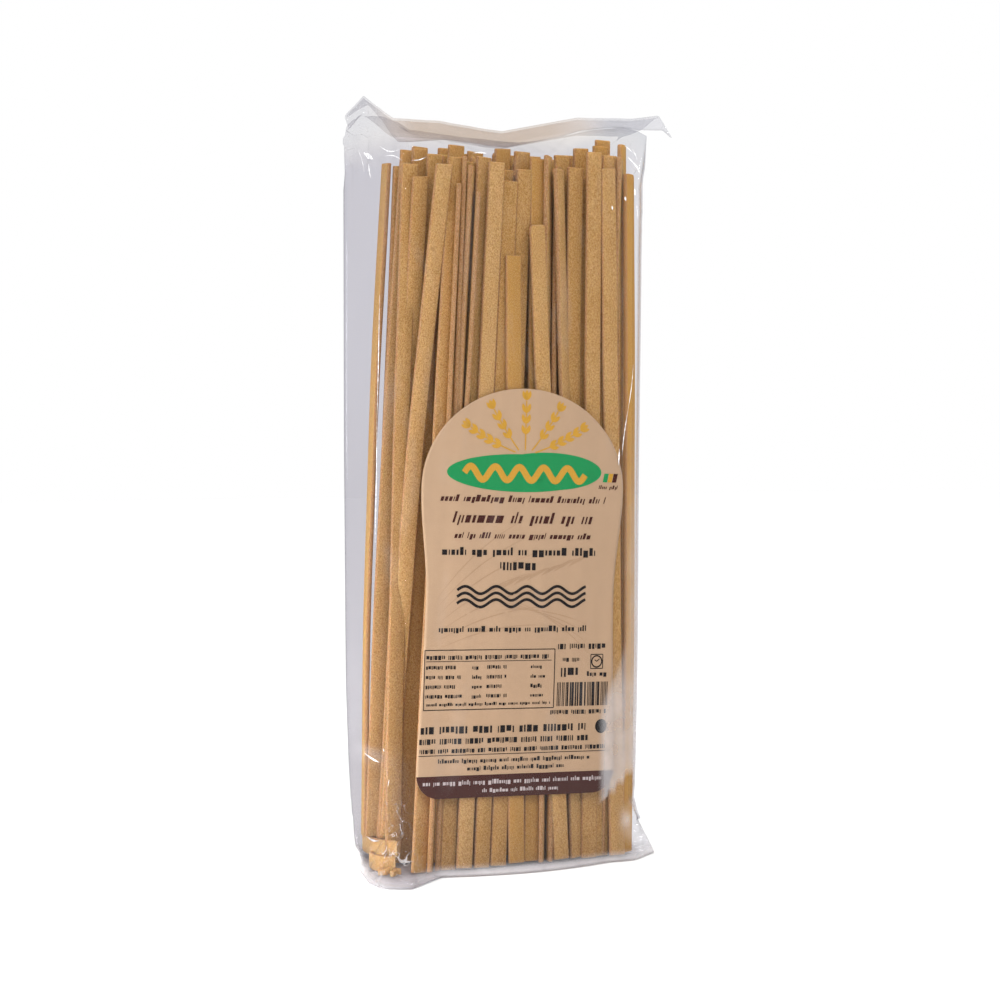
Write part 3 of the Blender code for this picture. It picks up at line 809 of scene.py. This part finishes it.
# Pieces that lie on the floor of the bag's left corner: points of the middle line, width, tone
BROKEN_PIECES = (
    (((-42.2, 17, 4.2), (-43.8, 8, 4.7), (-44.3, 0, 5.4), (-43.9, -8, 6.2), (-42.3, -16, 7)), 6.3, 0.9),
    (((-50.2, -10, 3.3), (-50.8, -15, 3.2), (-49.8, -19.6, 3.2), (-45.8, -21.8, 3.3)), 5.8, 1),
    (((-53, -24, 1.5), (-51, -25.4, 1.7), (-49, -25.6, 2.4)), 2.4, 0.8),
    (((-50, -28.6, 1.4), (-48, -27.6, 1.8)), 2, 1),
    (((-47.6, -24.6, 1.6), (-45.2, -25.2, 1.3)), 2.2, 0.7),
)


def make_broken(material):
    """Short pieces on edge: the ribbon's section carried along each middle line, with its width upright."""
    wide, deep, edge = ribbon_profile()
    share = np.linspace(0.0, 1.0, 17)
    shrink = 1.0 - 0.12 * (np.minimum(share, 1.0 - share) < 0.01)[:, None]
    rings = []
    for line, width, _ in BROKEN_PIECES:
        known = np.linspace(0.0, 1.0, len(line))
        path = np.stack([np.interp(share, known, places) for places in zip(*line)], axis=1)
        path[1:-1] = (path[:-2] + path[1:-1] * 2.0 + path[2:]) / 4.0
        along = np.gradient(path, axis=0)
        aside = np.stack([-along[:, 1], along[:, 0]], axis=1)
        aside /= np.linalg.norm(aside, axis=1, keepdims=True)
        section = np.stack([aside[:, :1] * deep, aside[:, 1:] * deep,
                            np.ones_like(shrink) * wide * width / RIBBON_WIDTH], axis=-1)
        rings.append(path[:, None, :] + section * shrink[..., None])
    tones = np.array([tone for _, _, tone in BROKEN_PIECES])[:, None, None]
    piece = tube_piece("ribbons_broken", np.array(rings), {"tone": tones, "edge": edge, "glaze": 0.0},
                       material, inside_out=True)
    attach(piece, "root")


def make_pasta(material):
    front, back = named_strands(FRONT_RIBBONS), named_strands(BACK_RIBBONS)
    make_ribbons("ribbons_front", front, material, 3, LEFT_BOWS)
    make_ribbons("ribbons_back", back + filler_strands(front + back), material, 4)
    make_broken(material)


# The label

def label_half_width(height):
    """The label's half width between its foot corners and its arch.

    It narrows from the foot to a waist and widens to the head, each along an S-curve.
    """
    foot_to_waist = smooth(height / LABEL_WAIST_HEIGHT)
    waist_to_head = smooth((height - LABEL_WAIST_HEIGHT) / (LABEL_HEAD_HEIGHT - LABEL_WAIST_HEIGHT))
    lower = LABEL_FOOT_HALF + (LABEL_WAIST_HALF - LABEL_FOOT_HALF) * foot_to_waist
    return lower + (LABEL_HEAD_HALF - LABEL_WAIST_HALF) * waist_to_head


def label_place(u, v, lift):
    """Points in space for label coordinates: u from the middle, v up from the foot, lift off the paper.

    The sheet has slow vertical waves where ribbons press it, and a few creases near
    its foot, so print on it follows the same relief.
    """
    turned = math.radians(-LABEL_TURN_DEGREES)
    x = LABEL_CENTRE_X + u * math.cos(turned) - v * math.sin(turned)
    z = LABEL_FOOT_Z + u * math.sin(turned) + v * math.cos(turned)
    waves = 0.07 * np.sin(u * 0.42 + v * 0.02) + 0.04 * np.sin(u * 0.9 - v * 0.05 + 1.0)
    low = 0.2 + 0.8 * smooth((60.0 - v) / 45.0)
    folds = (0.12 * np.sin(u * 0.28 + v * 0.22) * np.sin(v * 0.11 + 0.6)) * low
    y = LABEL_MIDDLE_Y + waves + folds - lift
    return np.stack([x, y, z], axis=-1)


def make_label(material):
    """The paper: rows across the label from its foot to its arch, with a thin wall."""
    corner = np.linspace(0.0, math.pi / 2.0, 9)
    side = np.linspace(LABEL_CORNER, LABEL_HEAD_HEIGHT, 90)[1:]
    arch = np.radians(np.linspace(0.0, 88.5, 40)[1:])
    side_half = label_half_width(side) - (label_half_width(LABEL_CORNER) - LABEL_FOOT_HALF)
    v = np.concatenate([LABEL_CORNER * (1.0 - np.cos(corner)), side,
                        LABEL_HEAD_HEIGHT + (LABEL_HEIGHT - LABEL_HEAD_HEIGHT) * np.sin(arch)])
    half = np.concatenate([LABEL_FOOT_HALF - LABEL_CORNER + LABEL_CORNER * np.sin(corner), side_half,
                           side_half[-1] * np.cos(arch)])
    share = np.linspace(-1.0, 1.0, 73)
    u = half[:, None] * share[None, :]
    points = label_place(u, v[:, None] + np.zeros_like(u), 0.0).reshape(-1, 3)
    label = make_piece("paper_label", points, grid_quads(len(v), len(share), False), material=material)
    add_wall(label, LABEL_PAPER)
    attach(label, "root")
    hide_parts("label")


def stroke(path, half_widths, across=3):
    """A flat mark along a path on the label, with a few points across at each place on it.

    The side points stand off the path by the half width, square to its direction.
    """
    path = np.array(path, float)
    direction = np.gradient(path, axis=0)
    direction /= np.maximum(np.linalg.norm(direction, axis=1, keepdims=True), 1e-9)
    side = np.stack([direction[:, 1], -direction[:, 0]], axis=1) * np.array(half_widths)[:, None]
    share = np.linspace(-1.0, 1.0, across)
    points = (path[:, None, :] + side[:, None, :] * share[None, :, None]).reshape(-1, 2)
    return points, grid_quads(len(path), across, False)


def bar(left, middle, width, height, slant=0.0):
    """One level bar: a stroke along a level line, with its ends slanted."""
    count = int(2 + width)
    points, quads = stroke(np.linspace((left, middle), (left + width, middle), count), [height / 2.0] * count)
    points[:, 0] += (points[:, 1] - middle) * slant
    return points, quads


def word_lines(rows, slant=0.0):
    """Lines of marks that stand for words: runs of small blocks of seeded widths.

    Each row gives the line's middle, left and right, the marks' height, the seed, and
    whether the marks are even. Otherwise some are lower, and a few hang below the line.
    """
    marks = []
    for middle, left, right, height, seed, even in rows:
        sizes = EVEN_MARKS if even else UNEVEN_MARKS
        rng = np.random.default_rng(seed)
        place = left
        while place < right:
            for _ in range(rng.integers(3, 10)):
                width = height * rng.choice((0.16, 0.22, 0.3, 0.5, 0.72))
                tall, shift = sizes[rng.integers(len(sizes))]
                if place + width > right:
                    break
                marks.append(bar(place, middle + shift * height, width, tall * height, slant))
                place += width + height * 0.22
            place += height * 0.65
    return marks


def frame_lines(left, right, low, high, thickness):
    sides = [((left, low), (right, low)), ((left, high), (right, high)),
             ((left, low), (left, high)), ((right, low), (right, high))]
    return [stroke(np.linspace(start, end, 48), [thickness / 2.0] * 48) for start, end in sides]


def ring_oval(u, v, half_u, half_v, half_width):
    turn = np.linspace(0.0, 2.0 * math.pi, 49)
    return stroke(np.stack([u + half_u * np.cos(turn), v + half_v * np.sin(turn)], axis=1),
                  [half_width] * 49)


def wavy_line(left, right, middle, height, pitch, half_width):
    """A level line that rises and falls as a sine, like a drawn ribbon."""
    u = np.linspace(left, right, 97)
    v = middle + height * np.sin((u - left) * 2.0 * math.pi / pitch)
    return stroke(np.stack([u, v], axis=1), np.full(97, half_width))


def leaf(start, angle, length, width, bend=0.0):
    """A pointed leaf or grain: a curved path whose half width follows a sine."""
    t = np.linspace(0.0, 1.0, 13)
    turned = math.radians(angle) + bend * t
    step = length / 12.0
    path = np.array(start) + np.cumsum(np.stack([np.cos(turned), np.sin(turned)], axis=1), axis=0) * step
    return stroke(path, width / 2.0 * np.sin(math.pi * np.clip(t, 0.02, 0.98)) ** 0.8, 5)


def wheat_ear(root, angle, bend, pairs, grain):
    """A stem that bends, with pairs of grains along its upper part and one at its tip."""
    t = np.linspace(0.0, 1.0, 24)
    turned = math.radians(angle) + bend * t
    length = grain * (pairs * 0.62 + 2.6)
    travelled = np.cumsum(np.stack([np.cos(turned), np.sin(turned)], axis=1), axis=0)
    path = np.array(root) + travelled * length / 24.0
    marks = [stroke(path, np.full(24, grain * 0.07))]
    for pair in range(pairs):
        place = int(7 + pair * 16 / max(pairs - 1, 1))
        heading = math.degrees(turned[place])
        for side in (-1, 1):
            marks.append(leaf(path[place], heading + side * 32.0, grain, grain * 0.42, -side * 0.35))
    marks.append(leaf(path[-1], math.degrees(turned[-1]), grain, grain * 0.42))
    return marks


def print_piece(name, marks, material, lift):
    """Join marks into one thin printed piece that lies on the paper."""
    points, quads, offset = [], [], 0
    for mark_points, mark_quads in marks:
        points.append(mark_points)
        quads.append(mark_quads + offset)
        offset += len(mark_points)
    flat = np.concatenate(points)
    placed = label_place(flat[:, 0], flat[:, 1], LABEL_PAPER * 0.5 + lift)
    piece = make_piece(name, placed, np.concatenate(quads), material=material)
    piece.data.shade_flat()
    add_wall(piece, INK_THICKNESS)
    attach(piece, "root")


def oval(u, v, half_u, half_v):
    """A filled oval: a level stroke whose half width is that of a circle, stretched."""
    share = np.sin(np.linspace(-1.52, 1.52, 33))
    return stroke(np.stack([u + half_u * share, np.full(33, v)], axis=1),
                  half_v * np.sqrt(1.0 - share * share), 15)


def foot_band(height):
    """The coloured band along the label's foot: rows across it that follow the round corners."""
    v = LABEL_CORNER * (1.0 - np.cos(np.linspace(0.0, math.acos(1.0 - height / LABEL_CORNER), 15)))
    half = LABEL_FOOT_HALF - LABEL_CORNER + np.sqrt(LABEL_CORNER ** 2 - (LABEL_CORNER - v) ** 2)
    u = half[:, None] * np.linspace(-1.0, 1.0, 73)[None, :]
    points = np.stack([u, v[:, None] + np.zeros_like(u)], axis=-1).reshape(-1, 2)
    return points, grid_quads(len(v), 73, False)


def both_sides(marks):
    """The marks and their mirror image about the label's middle line, with faces kept outwards."""
    mirrored = [(points * (-1.0, 1.0), quads[:, ::-1]) for points, quads in marks]
    return marks + mirrored


def barcode(left, right, low, high, seed):
    rng = np.random.default_rng(seed)
    stripes, place = [], left
    while place < right:
        width = rng.choice((0.28, 0.28, 0.55, 0.85))
        stripes.append(stroke(np.linspace((place, low), (place, high), 8), [width / 2.0] * 8))
        place += width + rng.choice((0.3, 0.3, 0.55))
    return stripes


def table_marks():
    """A box with a heading and four rows of bars in two columns."""
    lines = [(48.6, -35.4, 12.4, 1.5, 41, True), (32.5, -35.0, 12.6, 1.05, 90, False)]
    for row, v in enumerate((45.2, 41.8, 38.5, 35.2)):
        lines += [(v, -35.4, -24.0 + row % 2 * 2.5, 1.25, 50 + row, True),
                  (v, -18.0, -14.0, 1.2, 60 + row, False),
                  (v, -12.4, -4.0 - row % 3, 1.25, 70 + row, True),
                  (v, 4.4, 9.4 + row % 2, 1.2, 80 + row, False)]
    return frame_lines(-36.0, 13.6, 30.6, 51.2, 0.3) + [bar(-35.4, 47.3, 47.8, 0.2)] + word_lines(lines)


# Lines of marks on the label: middle, left, right, height, seed, even
SCRIPT_LINES = ((103.6, -31.5, 32.5, 2.2, 21, False), (97, -26.5, 28, 3.7, 22, False),
                (90.8, -26, 27.5, 2, 23, False), (108.3, 29.2, 36.5, 1.3, 24, False))
BLACK_LINES = (
    (85.3, -30.5, 28.5, 2.6, 31, False), (80.2, -8.5, 7.5, 2.8, 32, True),
    (58.4, -31, 26, 1.9, 33, False), (52, 14.8, 34, 1.9, 34, True),
    (47.3, 16.8, 23.2, 1.4, 35, True), (42.9, 16.2, 24, 3.2, 36, True), (42.3, 26.4, 34.8, 1.6, 37, False),
    (28.9, 12.4, 34.6, 1.5, 39, True), (23.6, -36.8, 27, 2.5, 42, True), (19.7, -37.2, 28, 1.9, 43, True),
    (16.4, -37, 34.5, 1.5, 44, True), (12.9, -30, 28.5, 1.4, 45, False), (10.2, -19, 18.5, 1.4, 46, False),
)
PALE_LINES = ((5.4, -35.5, 33.5, 1.5, 47, False), (2.4, -13, 18, 1.3, 48, False))


def make_print():
    """A plain label: a fan of wheat over a green lens, marks for the words, a table and stripes."""
    gold = paper_material("ink_gold", (0.66, 0.355, 0.036), 0.10)
    green = paper_material("ink_green", (0.010, 0.315, 0.085), 0.10)
    brown = paper_material("ink_brown", (0.074, 0.016, 0.008), 0.20)
    black = paper_material("ink_black", (0.016, 0.012, 0.010), 0.10)
    faint = paper_material("ink_faint", (0.525, 0.345, 0.192), 0.20)
    pale = paper_material("ink_pale", (0.62, 0.54, 0.50), 0.10)

    lines = [leaf((-34.0, 50.0 + 2.6 * n), 26.0 + 5.0 * n, 44.0, 0.45, -0.5) for n in range(7)]
    lines += [leaf((30.0, 46.0 + 4.0 * n), 132.0 + 8.0 * n, 38.0, 0.45, 0.5) for n in range(4)]
    lines += [leaf((-14.0 + 5.2 * n, 70.0 + 1.6 * n), 38.0 + 2.0 * (n % 2), 9.5, 1.2, -0.4) for n in range(7)]
    print_piece("print_wheat_lines", lines, faint, 0.02)
    corner_bars = [bar(left, 111.6, width, 3.1, 0.2)
                   for left, width in ((30.9, 1.7), (32.8, 1.6), (34.6, 1.6))]
    ovals = [oval(-1.0, 112.6, 28.5, 6.6), oval(9.0, 113.4, 21.0, 6.6)]
    print_piece("print_green", ovals + corner_bars[:1], green, 0.03)
    ears = both_sides(wheat_ear((3.0, 119.6), 18.0, 0.25, 5, 3.5)
                      + wheat_ear((2.0, 120.0), 50.0, 0.15, 4, 3.5))
    ears += wheat_ear((0.0, 120.0), 90.0, 0.0, 4, 3.5)
    wave = wavy_line(-23.0, 23.5, 112.4, 2.3, 9.3, 1.15)
    print_piece("print_gold", ears + [wave] + corner_bars[1:2], gold, 0.09)
    print_piece("print_brown", word_lines(SCRIPT_LINES, 0.3) + [foot_band(7.8)] + corner_bars[2:], brown, 0.05)
    dial = [ring_oval(30.2, 46.6, 2.0, 2.0, 0.24), stroke([(30.2, 46.6), (31.3, 47.5)], [0.16] * 2),
            stroke([(30.2, 46.6), (29.4, 47.2)], [0.16] * 2)] + frame_lines(27.8, 32.6, 44.1, 49.1, 0.3)
    waves = [wavy_line(-24.5, 25.0, 69.6 + 2.3 * n, 1.3, 11.8, 0.5) for n in (-1, 0, 1)]
    shapes = barcode(15.0, 34.8, 31.0, 39.4, 38) + [bar(-37.4, 14.9, 74.0, 0.24), oval(32.6, 23.6, 2.3, 2.5)]
    print_piece("print_black", word_lines(BLACK_LINES) + dial + shapes + waves + table_marks(), black, 0.06)
    print_piece("print_pale", word_lines(PALE_LINES), pale, 0.10)


# Light, floor and camera

def place_in_scene(name, data, place, look):
    thing = bpy.data.objects.new(name, data)
    bpy.context.scene.collection.objects.link(thing)
    thing.location = Vector(place) * MM
    thing.rotation_euler = look.to_track_quat("-Z", "Y").to_euler()
    return thing


def add_light(name, place, target, size, power, height=None):
    lamp = bpy.data.lights.new(name, "AREA")
    lamp.energy = power
    lamp.size = size * MM
    if height:
        lamp.shape = "RECTANGLE"
        lamp.size_y = height * MM
    return place_in_scene(name, lamp, place, Vector(target) - Vector(place))


def make_world():
    """White to the eye, and an even soft light. Mirrors see a dimmer room than the eye does."""
    nodes = Nodes(bpy.data.worlds.new("studio"))
    room, mirrored, seen = (nodes.add("Background", {"Color": (*colour, 1.0), "Strength": strength})
                            for colour, strength in (((1.0, 1.0, 1.0), 1.25), ((0.95, 0.95, 1.0), 0.16),
                                                     ((1.0, 1.0, 1.0), 1.0)))
    lit = nodes.blend(nodes.add("LightPath", output="Is Glossy Ray"), room, mirrored)
    lit = nodes.blend(nodes.add("LightPath", output="Is Camera Ray"), lit, seen)
    bpy.context.scene.world = nodes.finish(lit, "World")


def make_floor():
    """A white floor. The film mirrors it as a dim one, like the room."""
    nodes = Nodes(bpy.data.materials.new("floor"))
    mirrored = nodes.add("LightPath", output="Is Glossy Ray")
    colour = nodes.mix(mirrored, (0.81, 0.81, 0.81), (0.16, 0.16, 0.17))
    material = nodes.finish(nodes.add("BsdfPrincipled", {"Base Color": colour, "Roughness": 0.9,
                                                         "Specular IOR Level": 0.0}))
    corners = np.array([(-1.0, -1.0), (1.0, -1.0), (1.0, 1.0), (-1.0, 1.0)]) * FLOOR_REACH
    floor = make_piece("floor", np.insert(corners, 2, FLOOR_Z, axis=1), np.array([[0, 1, 2, 3]]),
                       material=material)


def make_camera():
    lens = bpy.data.cameras.new("camera")
    lens.lens = CAMERA_LENS
    lens.sensor_width = 36.0
    heading, dip = math.radians(CAMERA_HEADING), math.radians(CAMERA_DIP)
    look = Vector((math.sin(heading) * math.cos(dip), math.cos(heading) * math.cos(dip), -math.sin(dip)))
    bpy.context.scene.camera = place_in_scene("camera", lens, CAMERA_AT, look)


def make_lights():
    """A soft light from the left front, a weak one low at the left, three that are only mirrored."""
    target = (0.0, 0.0, 130.0)
    key = add_light("key", (-430.0, -1190.0, 1270.0), target, 800.0, 17.0)
    key.visible_glossy = False
    low = add_light("low_left", (-205.0, -55.0, 34.0), (-42.0, -6.0, 60.0), 60.0, 0.55)
    low.visible_glossy = False
    low.visible_camera = False
    edge = (40.0, -20.0, 190.0)
    for lamp in (add_light("strip", (820.0, 60.0, 215.0), edge, 130.0, 2.0, 170.0),
                 add_light("glint_left", (-900.0, -500.0, 700.0), target, 160.0, 4.0),
                 add_light("glint_high", (-250.0, -900.0, 1500.0), target, 120.0, 4.0)):
        lamp.visible_diffuse = False


bpy.context.scene.view_settings.view_transform = "Standard"
bpy.context.scene.view_settings.look = "None"
bpy.context.scene.cycles.transparent_max_bounces = 24

make_camera()
make_world()
make_lights()
make_floor()
make_pasta(pasta_material())
make_label(paper_material("label_paper", (0.605, 0.412, 0.238), 0.20))
make_print()
make_film(film_material("clear_film"))
make_painted_glints(painted_glint_material())
